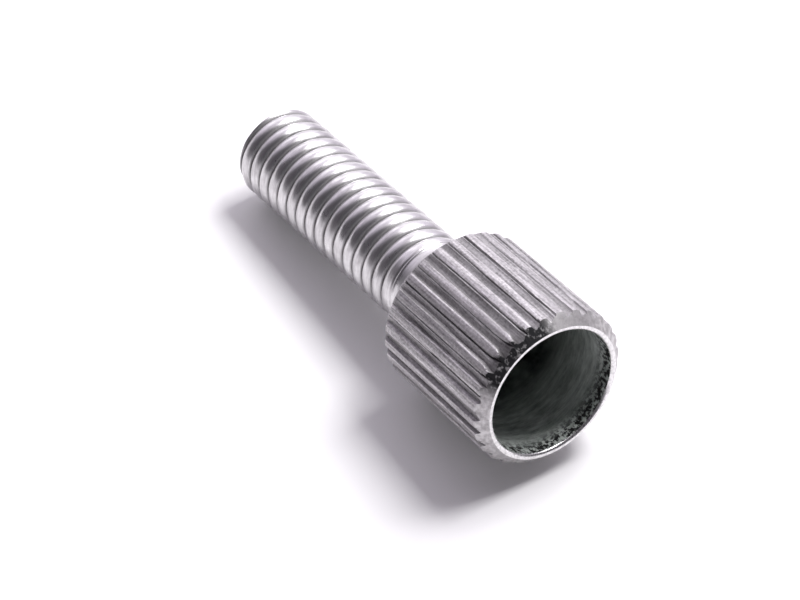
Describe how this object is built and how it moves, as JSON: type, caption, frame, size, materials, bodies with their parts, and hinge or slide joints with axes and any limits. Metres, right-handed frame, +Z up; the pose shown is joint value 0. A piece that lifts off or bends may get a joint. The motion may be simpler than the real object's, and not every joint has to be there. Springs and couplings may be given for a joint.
{
  "type": "cable adjuster screw",
  "caption": "Hollow cable adjuster screw: a straight-knurled cup head whose socket takes the cable housing's end, on a threaded shank the inner cable runs through.",
  "frame": {"origin": "bottom centre of the bounding box, on the surface the screw lies on", "axes": "+X toward the knurled head, which lies a few degrees higher than the tip; +Z up"},
  "size_m": [0.029, 0.0098, 0.0106],
  "materials": {
    "steel": "bright turned and plated, axial tool marks on the knurl"
  },
  "bodies": {
    "root": {"adjuster_screw": "steel"}
  },
  "joints": []
}
